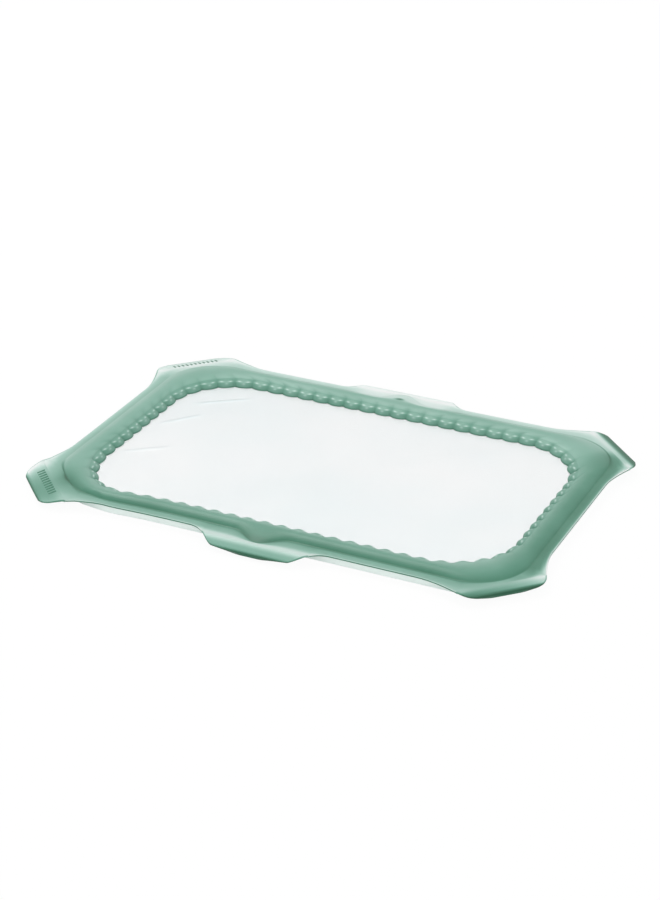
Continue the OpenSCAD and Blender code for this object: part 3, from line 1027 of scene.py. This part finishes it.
    def under(self) -> Iterator[Column]:
        """Columns back along the underside, under the crown and round the foot.

        From its highest share the underside falls with the power crest_square to both sides.

        Yields:
            Plan places, heights and depths of pigment.
        """
        s = self.lid
        foot_out = s.flute_w + s.foot_t
        foot = self.plan.offset(self.share, foot_out)
        for u in self.under_at:
            drop = (abs(u - self.under_crest) / (1 - self.under_crest)) ** self.crest_square
            height = s.crown_h - s.crown_t - (s.crown_h - s.brim_h) * drop
            push = self.push * smooth(u, *self.under_push)
            ring = (1 - u) * foot + u * (self.valley + self.normal * push[:, None])
            yield ring, s.film_z + height, self.under_depth
        lap = s.film_lap
        for d, z in ((foot_out, self.foot_up), (foot_out, -s.film_t), (lap, -s.film_t), (lap, 0.0)):
            yield self.plan.offset(self.share, d), s.film_z + z, self.foot_depth

    def build(self, material: bpy.types.Material) -> bpy.types.Object:
        """Makes the frame, dresses it and fixes it to the frame body.

        Args:
            material: The frame's finish.

        Returns:
            The new piece.
        """
        columns = [*self.lobes(), *self.crown(), *self.brim(), *self.under()]
        points = np.stack([FLEX.raised(ring, z) for ring, z, _ in columns], 1)
        depth = np.stack([np.broadcast_to(tone, self.share.shape) for _, _, tone in columns], 1)
        skin = new_mesh("frame_skin", points, grid_faces(*points.shape[:2], True, True), depth, material)
        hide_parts("fluted_edge", "crown", "brim", "front_nose", "back_nose")
        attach(skin, "frame")
        return skin


# ---------------------------------------------------------------- the skirt


@dataclass
class SkirtSkin:
    """The thin pale wall under the brim, with a bead inside its foot."""

    lid: LidSizes = LID
    plan: Outlines = PLAN
    stations: int = 720
    foot: float = 0.35
    # How far the wall's top stands in the brim
    bite: float = 0.2
    # Shares of the wall's height at which it has points, and how much lower the bead's inner face is
    wall_rows: Pair = (0.7, 0.4)
    bead_slope: float = 0.5
    wall_depth: float = 0.1

    def profile(self) -> list[Pair]:
        """Profile points of the wall: a straight face, a foot with two arcs, and the bead's slope.

        Returns:
            Distances inside the outer face, and heights.
        """
        s, foot = self.lid, self.foot
        upper, lower = (share * s.brim_under for share in self.wall_rows)
        top, inner = s.brim_under + self.bite, s.skirt_t + s.bead_w
        return [(0.0, top), (0.0, upper), (0.0, lower),
                *arc(foot, foot, foot, 270, 240, 210, 180),
                *arc(inner - foot, foot, foot, 180, 150, 120, 90),
                (inner, s.bead_h - self.bead_slope), (s.skirt_t, s.bead_h),
                (s.skirt_t, upper), (s.skirt_t, top)]

    def build(self, material: bpy.types.Material) -> bpy.types.Object:
        """Makes the wall by carrying its profile round the lid, and fixes it to the frame body.

        Args:
            material: The skirt's finish.

        Returns:
            The new piece.
        """
        s, f = self.lid, np.arange(self.stations) / self.stations
        out = s.edge_w - s.skirt_set
        points = np.stack([
            FLEX.raised(self.plan.ring(f, s.half_l + out - d, s.half_w + out - d, s.skirt_r - d), z)
            for d, z in self.profile()], 1)
        faces = grid_faces(*points.shape[:2], True, True)
        wall = new_mesh("skirt_skin", points, faces, self.wall_depth, material)
        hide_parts("skirt", "skirt_bead")
        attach(wall, "frame")
        return wall


# ---------------------------------------------------------------- the film


@dataclass
class FilmSkin:
    """The clear window: a thin sheet with a few faint creases at its left end, darkened with painted shade.
    """

    lid: LidSizes = LID
    across: int = 150
    along: int = 240
    crease_h: float = 0.16
    crease_w: float = 1.6
    # Depth of pigment along the creases: painted shade in them
    crease_shade_depth: float = 0.03
    sink: float = 0.04
    # Creases as (x, y) to (x, y) in the film's own plan, and the shares of their length over which
    # they start and end
    creases: tuple[tuple[float, float, float, float], ...] = (
        (-136.0, -36.0, -108.0, -15.0),
        (-134.0, 10.0, -113.0, 35.0),
        (-127.0, 47.0, -95.0, 70.0),
    )
    crease_start: Pair = (-0.1, 0.2)
    crease_end: Pair = (0.7, 1.1)

    def wave(self, x: np.ndarray, y: np.ndarray) -> np.ndarray:
        """Share of a crease at each place: a bell across each line, faded towards its ends.

        Args:
            x: Places along the lid.
            y: Places across it.

        Returns:
            The share at each place, 1 in the middle of a crease.
        """
        total = np.zeros_like(x)
        for x0, y0, x1, y1 in self.creases:
            length = math.hypot(x1 - x0, y1 - y0)
            along = ((x - x0) * (x1 - x0) + (y - y0) * (y1 - y0)) / length**2
            off = ((y - y0) * (x1 - x0) - (x - x0) * (y1 - y0)) / length
            fade = smooth(along, *self.crease_start) * (1 - smooth(along, *self.crease_end))
            total += np.exp(-((off / self.crease_w) ** 2)) * fade
        return total

    def build(self, material: bpy.types.Material) -> bpy.types.Object:
        """Makes the film and fixes it to the frame body.

        Rows run across the lid. A row's half length is the rounded rectangle's at that y: the
        full half length, or the corner arc's chord. The top and bottom grids share their rim.

        Args:
            material: The film's finish.

        Returns:
            The new piece.
        """
        s = self.lid
        edge = s.film_lap - s.film_fit
        hl, hw, r = s.half_l + edge, s.half_w + edge, s.window_r + edge
        y = hw * np.sin(np.linspace(-math.pi / 2, math.pi / 2, self.across))
        past = np.clip(np.abs(y) - (hw - r), 0, r)
        half = hl - r + np.sqrt(r * r - past * past)
        grid_x = half[:, None] * np.linspace(-1, 1, self.along)[None, :]
        grid_y = np.broadcast_to(y[:, None], grid_x.shape)
        plan, wave = np.stack([grid_x, grid_y], -1), self.wave(grid_x, grid_y)
        top, bottom = (FLEX.raised(plan, z + self.crease_h * wave).reshape(-1, 3)
                       for z in (s.film_z - self.sink, s.film_z - s.film_t))
        count, rim = len(top), self.rim_loop()
        after = np.roll(rim, -1)
        walls = np.stack([rim, rim + count, after + count, after], -1)
        sheet = grid_faces(self.across, self.along, False, False)
        film = new_mesh("film_skin", np.concatenate([top, bottom]),
                        np.concatenate([sheet[:, ::-1], sheet + count, walls]),
                        np.tile(self.crease_shade_depth * wave.reshape(-1), 2), material)
        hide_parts("clear_film")
        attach(film, "frame")
        return film

    def rim_loop(self) -> np.ndarray:
        """Walks round the border of the grid, counter-clockwise seen from above.

        Returns:
            Indices of the border's points.
        """
        rows, columns = self.across, self.along
        front = np.arange(columns - 1)
        right = np.arange(rows - 1) * columns + columns - 1
        back = (rows - 1) * columns + np.arange(columns - 1, 0, -1)
        left = np.arange(rows - 1, 0, -1) * columns
        return np.concatenate([front, right, back, left])


# ---------------------------------------------------------------- the tabs


@dataclass(frozen=True)
class TabTone:
    """Depth of pigment over a tab: at its root as a share of the brim's, with its painted light and shade,
    near its lip and on it.
    """

    root: float
    plate: float
    lip: float
    # Added to the plate at one end of the tab and taken off at the other, and taken off at both ends
    across: float = 0.0
    arch: float = 0.0
    # Width of the lip's tone along the free edge, and depth of the thin dark line round the outline, painted
    # shade along its edges
    band: float = 1.9
    line: float = 0.5
    # Least depth, share of the band where its tone is full, and where the root's tone starts and
    # ends past the seam
    least: float = 0.02
    band_full: float = 0.4
    root_span: Pair = (0.3, 6.0)
    # Where the thin line is full and where it ends, inwards from the sides and from the free edge
    side_line: Pair = (0.3, 1.2)
    free_line: Pair = (0.4, 1.0)


@dataclass
class TabSkin:
    """A pull tab: a thin plate that leaves the brim at a seam, droops and ends in a thick lip."""

    name: str
    body: str
    nodes: tuple[str, ...]
    half: np.ndarray
    seam: float
    fold: float
    droop: float
    origin: Pair
    heading: float
    tone: TabTone
    corner: bool
    lid: LidSizes = LID
    shade: Shade = SHADE
    bend: float = 4.5
    plate_t: float = 0.75
    # How far the tab starts inside the frame piece, and how much lower than it
    bite: float = 0.4
    step: float = 0.03
    across: int = 120
    spine_steps: int = 400
    # Share of the stations' spread that follows a sine, which sets them closer at the ends
    sine_share: float = 0.55
    side_round: float = 0.55
    tip_round: float = 0.5
    # Points of the plate's top past the seam, as shares of its length, and before its free edge
    root_rows: Row = (0.5, 1.2, 2.0)
    plate_rows: Row = (0.35, 0.5, 0.6, 0.7, 0.8)
    last_row: float = 1.3
    face_h: float = 0.3
    # Points of the lip's inner face and of the plate's underside behind it
    lip_chamfer: Pair = (0.3, 0.4)
    lip_foot: tuple[Pair, ...] = ((0.1, 0.2), (0.5, 0.0))
    under_row: float = 0.7
    # The underside beside the frame: distances past the seam, and how much thinner the plate is there
    root_under: tuple[Pair, ...] = ((1.6, 0.15), (0.8, 0.0))
    root_end: float = 1.7
    # Shares of the free edge's half width over which the lip fades, and where that width is read
    lip_fade: Pair = (0.4, 1.05)
    free_at: float = 0.4
    # Share of the plate's thickness that is left at its closed sides, and of a lip that has faded
    closed: float = 0.02
    # Half width of the strip that bends, on each side of the fold line
    fold_half: float = 1.1
    # Distance from the valley of a side tab's seam, in widths of the plain brim: past any flare
    side_distance: float = 2.0

    @property
    def end(self) -> float:
        """Length of the tab from the seam to its free edge."""
        return self.half[0, 0] - self.seam

    def placed(self, x: np.ndarray | float, y: np.ndarray | float) -> np.ndarray:
        """Plan places of points x out from the tab's origin and y along it, turned to its heading."""
        a, (ox, oy) = math.radians(self.heading), self.origin
        return np.stack([ox + x * math.cos(a) - y * math.sin(a), oy + x * math.sin(a) + y * math.cos(a)], -1)

    def spine(self, d: np.ndarray) -> tuple[np.ndarray, np.ndarray, np.ndarray]:
        """Middle line of the plate at distance d past the seam, measured along the plate.

        Its slope grows from level to the droop by a smoothstep over the bend, so the line's
        places are the running sums of the slope's cosine and sine.

        Args:
            d: Distances past the seam.

        Returns:
            Distance out from the tab's origin, height, and slope in radians.
        """
        fine = np.linspace(0, d.max(), self.spine_steps)
        slope = math.radians(self.droop) * smooth(fine, 0, self.bend)
        middle = (slope[1:] + slope[:-1]) / 2
        out, down = (np.concatenate([[0], np.cumsum(part(middle) * fine[1])]) for part in (np.cos, np.sin))
        return (self.seam + np.interp(d, fine, out) + np.minimum(d, 0),
                self.lid.fold_z - np.interp(d, fine, down), np.interp(d, fine, slope))

    def profile(self) -> tuple[np.ndarray, np.ndarray, np.ndarray]:
        """Closed profile of the plate and its lip: a flat top, a rounded lip and a thinner plate.

        Returns:
            Distance past the seam, height over the middle line with a full lip, and the same
            with no lip, one value for each profile point.
        """
        s, end, r = self.lid, self.end, self.tip_round
        t, inner = s.brim_t / 2, self.end - s.lip_w
        lip, low = s.lip_h - t, t - self.plate_t
        top = [(-self.bite, t - self.step), (0.0, t - self.step), *((d, t) for d in self.root_rows),
               *((share * end, t) for share in self.plate_rows), (end - self.last_row, t), (end - r, t)]
        edge = [*arc(end - r, t - r, r, 22.5, 45, 67.5, 90), (end, t - r - self.face_h),
                *arc(end - r, r - lip, r, 90, 120, 150, 180)]
        back, up = self.lip_chamfer
        under = [(inner + back, -lip), (inner, up - lip), *((inner - d, low - z) for d, z in self.lip_foot),
                 (self.under_row * inner, low), *((d, z - t) for d, z in self.root_under),
                 (0.0, self.step - t), (-self.bite, self.step - t)]
        d, z = np.array(top + edge + under).T
        bare = np.where(z < low, np.maximum(z, low + self.closed * z), z)
        return d, z, np.where(d < self.root_end, z, bare)

    def half_width(self, d: np.ndarray | float) -> np.ndarray:
        """Half width of the tab at distance d past the seam, from its outline.

        Args:
            d: Distances past the seam.

        Returns:
            The half widths, a step smaller inside the frame piece.
        """
        x, y = self.half[::-1].T
        order = np.argsort(x, kind="stable")
        return np.interp(self.seam + np.maximum(d, 0), x[order], y[order]) - np.where(d < 0, self.step, 0)

    def shares(self) -> np.ndarray:
        """Shares of the half width at which stations stand, from -1 to 1 and closer at the ends."""
        even = np.linspace(-1, 1, self.across)
        return self.sine_share * np.sin(even * math.pi / 2) + (1 - self.sine_share) * even

    def surface(self) -> np.ndarray:
        """Points of the tab in the lid's frame.

        A station's share t runs from -1 to 1 and stands at t times the half width. Near the two
        ends the plate closes on its middle by a quarter circle, and the lip fades out.

        Returns:
            Points as stations across by profile points by three.
        """
        d, full, bare = self.profile()
        out, height, slope = self.spine(d)
        width = self.half_width(d)
        y = self.shares()[:, None] * width
        free = self.half_width(self.end - self.free_at)
        fade = 1 - smooth(np.abs(y), *(share * free for share in self.lip_fade))
        ease = np.sqrt(1 - (1 - np.clip((width - np.abs(y)) / self.side_round, 0, 1)) ** 2)
        lift = (bare + (full - bare) * fade) * np.where(d <= 0, 1, np.maximum(ease, self.closed))
        return np.concatenate([self.placed(out + lift * np.sin(slope), y),
                               (height + lift * np.cos(slope))[..., None]], -1)

    def caps(self, n: int, m: int) -> list[np.ndarray]:
        """Quads that close the two end sections, as a ladder between their two halves.

        Args:
            n: Number of sections.
            m: Points in a section.

        Returns:
            Corner indices of the first and of the last section's quads, four to a row.
        """
        j = np.arange((m - 1) // 2)
        ladder = np.stack([j, j + 1, m - 2 - j, m - 1 - j], -1)
        return [ladder, ladder[:, ::-1] + (n - 1) * m]

    def root_depth(self) -> np.ndarray:
        """Depth of pigment at the seam: the tone's root share of the brim's own depth there, painted light
        and shade included.

        Returns:
            The depth at each station.
        """
        places = np.linspace(-1, 1, self.across) * self.half_width(0.0)
        turn, distance = 0 * places, self.side_distance + 0 * places
        if self.corner:
            turn = np.clip(np.arctan2(places, self.seam), -math.pi / 4, math.pi / 4)
            distance = (np.hypot(places, self.seam) - self.lid.valley_r) / self.lid.brim_w
        angle = math.radians(self.heading) + turn
        brim = self.shade.brim(1.0, np.stack([np.cos(angle), np.sin(angle)], -1))
        return self.tone.root * self.shade.thin(self.placed(self.seam, places), distance) * brim

    def depth(self) -> np.ndarray:
        """Depth of pigment over the tab.

        The plate's depth changes in a line and a parabola across the tab. Smoothsteps lead from
        the root's depth to it and from it to the lip's, and the thin line, painted shade round the
        outline, is added on top.

        Returns:
            Depths as stations across by profile points.
        """
        d, full, _ = self.profile()
        end, tone = self.end, self.tone
        t = np.linspace(-1, 1, self.across)[:, None]
        plate = tone.plate + tone.across * t - tone.arch * t * t
        root = self.root_depth()[:, None]
        start, stop = tone.root_span
        mixed = root + (plate - root) * smooth(d, start, min(stop, end - self.lid.lip_w))
        lip = smooth(d, end - tone.band, end - tone.band_full * tone.band)
        width = self.half_width(d)
        inside = width - np.abs(self.shares()[:, None] * width)
        side = (1 - smooth(inside, *tone.side_line)) * smooth(d, -self.bite, 0.0)
        free = (1 - smooth(end - d, *tone.free_line)) * (full > 0)
        # The outline's thin line is painted shade
        return np.maximum(mixed + (tone.lip - mixed) * lip, tone.least) + tone.line * np.maximum(side, free)

    def build(self, material: bpy.types.Material) -> bpy.types.Object:
        """Makes the tab, dresses it and bakes its place into its mesh.

        Args:
            material: The tabs' finish.

        Returns:
            The new piece.
        """
        points = self.surface()
        n, m = points.shape[:2]
        faces = np.concatenate([grid_faces(n, m, False, True), *self.caps(n, m)])
        tab = new_mesh(self.name, points, faces, self.depth(), material)
        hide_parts(*self.nodes)
        start, end = (self.placed(self.fold + side * self.fold_half, 0) * MM for side in (-1, 1))
        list(start)
        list(end)
        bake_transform(tab)
        return tab


TAB_TONES = {
    "front_left": TabTone(1.0, 1.0, 1.2, 0.45, 0.9, line=0.8),
    "back_left": TabTone(1.0, 0.25, 0.7, line=0.9),
    "front_right": TabTone(1.0, 0.95, 1.8, -0.6, band=3.0),
    "back_right": TabTone(1.0, 0.45, 1.8, band=6.5),
    "front_side": TabTone(1.0, 0.8, 1.6, band=2.4),
    "back_side": TabTone(0.8, 0.3, 0.7, line=0.9),
}


def all_tabs(lid: LidSizes = LID, plan: Outlines = PLAN) -> list[TabSkin]:
    """Sets out the six tabs, each with its place, its heading and the CAD nodes it stands for.

    Args:
        lid: Sizes of the lid.
        plan: Plan curves of the lid.

    Returns:
        The tabs: left, right and side at the front, and the same at the back.
    """
    cx, cy = lid.corner_centre
    tabs = []
    for depth, y in (("front", -1), ("back", 1)):
        for side, x, droop in (("left", -1, lid.left_droop), ("right", 1, lid.right_droop),
                               ("side", 0, lid.side_droop)):
            name, corner = f"{depth}_{side}", x != 0
            tabs.append(TabSkin(
                name=f"{name}_tab_skin",
                body=f"{name}_flap",
                nodes=(f"{name}_tab", f"{name}_lip"),
                half=plan.corner_half(x) if corner else plan.side_half(),
                seam=plan.corner_seam if corner else plan.side_seam,
                fold=lid.edge_r - lid.corner_fold_in if corner else lid.side_fold,
                droop=droop,
                origin=(x * cx, y * cy) if corner else (0.0, y * (lid.half_w + lid.edge_w)),
                heading=math.degrees(math.atan2(y, x)),
                tone=TAB_TONES[name],
                corner=corner,
            ))
    return tabs


# ---------------------------------------------------------------- studio


@dataclass(frozen=True)
class Studio:
    """Floor, soft lamps, sky and camera. The camera's places are in millimetres, the rest in metres."""

    lens: float = 91.22
    sensor: float = 36.0
    clip: Pair = (0.01, 50.0)
    elevation: float = 26.85
    azimuth: float = 25.37
    distance: float = 1449.46
    shift_right: float = -3.42
    shift_up: float = 12.20
    floor_half: float = 3.0
    floor_z: float = -0.00005
    floor_white: float = 0.9
    floor_rough: float = 0.9
    sky: float = 0.9
    glow: float = 0.95
    # Lamps: name, place, side of the square and power in watts
    lamps: tuple[tuple[str, tuple[float, float, float], float, float], ...] = (
        ("key", (-0.9, 0.7, 1.8), 1.0, 14.0),
        ("fill", (0.4, -1.6, 0.3), 1.0, 5.0),
    )

    def camera(self) -> None:
        """Places the camera: back from the film's middle, then sideways and up in its own plane."""
        az, el = math.radians(self.azimuth), math.radians(self.elevation)
        back = Vector((math.sin(az) * math.cos(el), -math.cos(az) * math.cos(el), math.sin(el)))
        right = Vector((math.cos(az), math.sin(az), 0))
        up = back.cross(right)
        data = bpy.data.cameras.new("camera")
        data.lens, data.sensor_width, data.sensor_fit = self.lens, self.sensor, "AUTO"
        data.clip_start, data.clip_end = self.clip
        camera = new_object("camera", data)
        place = back * self.distance + right * self.shift_right + up * self.shift_up
        camera.location = (place + Vector((0, 0, LID.film_z))) * MM
        camera.rotation_euler = (-back).to_track_quat("-Z", "Y").to_euler()
        bpy.context.scene.camera = camera

    def white_rays(self, tree: bpy.types.NodeTree) -> bpy.types.NodeSocket:
        """Share of even white that a ray sees: glow from the camera, all if reflected or let through.

        Args:
            tree: The floor's node tree.

        Returns:
            The socket that gives the share.
        """
        path = new_node(tree, "LightPath", {}).outputs
        total = math_node(tree, "MULTIPLY", path["Is Camera Ray"], self.glow)
        for name in ("Is Glossy Ray", "Is Transmission Ray"):
            total = math_node(tree, "ADD", total, path[name], clamp=True)
        return total

    def floor(self) -> None:
        """White floor. Most of what the camera sees of it is an even white, the rest takes shadow."""
        size = self.floor_half
        corners = [(-size, -size, 0), (size, -size, 0), (size, size, 0), (-size, size, 0)]
        mesh = bpy.data.meshes.new("floor")
        mesh.from_pydata(corners, [], [(0, 1, 2, 3)])
        obj = new_object("floor", mesh)
        obj.location.z = self.floor_z
        material = bpy.data.materials.new("floor_white")
        material.use_nodes = True
        tree = material.node_tree
        shader = feed(tree, tree.nodes["Principled BSDF"], {
            "Base Color": (self.floor_white, self.floor_white, self.floor_white, 1),
            "Roughness": self.floor_rough,
            "Specular IOR Level": 0.0,
        })
        glow = new_node(tree, "Emission", {})
        mix = new_node(tree, "MixShader", {
            0: self.white_rays(tree), 1: shader.outputs[0], 2: glow.outputs[0]})
        feed(tree, tree.nodes["Material Output"], {"Surface": mix.outputs[0]})
        mesh.materials.append(material)

    def world(self) -> None:
        """White sky: an even light on the object, and full white behind it."""
        world = bpy.data.worlds.new("sky")
        bpy.context.scene.world = world
        world.use_nodes = True
        tree, white = world.node_tree, (1, 1, 1, 1)
        light = feed(tree, tree.nodes["Background"], {"Color": white, "Strength": self.sky})
        behind = new_node(tree, "Background", {"Color": white})
        path = new_node(tree, "LightPath", {})
        mix = new_node(tree, "MixShader", {
            0: path.outputs["Is Camera Ray"], 1: light.outputs[0], 2: behind.outputs[0]})
        feed(tree, tree.nodes["World Output"], {"Surface": mix.outputs[0]})

    def lamp(self, name: str, place: tuple[float, float, float], size: float, power: float) -> None:
        """Adds a square soft lamp that faces the lid.

        Args:
            name: Name of the lamp.
            place: Place of the lamp in metres.
            size: Side of the square in metres.
            power: Power in watts.
        """
        data = bpy.data.lights.new(name, "AREA")
        data.size, data.energy = size, power
        lamp = new_object(name, data)
        lamp.location = place
        lamp.rotation_euler = (-Vector(place)).to_track_quat("-Z", "Y").to_euler()

    def build(self) -> None:
        """Sets up the whole studio."""
        self.camera()
        self.floor()
        self.world()
        for lamp in self.lamps:
            self.lamp(*lamp)
        bpy.context.scene.view_settings.view_transform = "Standard"


def main() -> None:
    """Builds every piece of the lid, then the studio."""
    logging.basicConfig(level=logging.INFO, format="%(message)s")
    group = silicone_group()
    frame_green, skirt_pale, tab_green, clear, rib = (
        finish.build(group) for finish in (FRAME_FINISH, SKIRT_FINISH, TAB_FINISH, FILM_FINISH, RIB_FINISH))
    pieces = [FrameSkin().build(frame_green), SkirtSkin().build(skirt_pale), FilmSkin().build(clear)]
    pieces += [tab.build(tab_green) for tab in all_tabs()]
    for name in ("front_left_grip_ribs", "back_left_grip_ribs"):
        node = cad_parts[name]
        node.data.materials.clear()
        node.data.materials.append(rib)
        pieces.append(node)
    for piece in pieces:
        LOG.info("%s: %d faces", piece.name, len(piece.data.polygons))
    Studio().build()


if __name__ == "__main__":
    main()
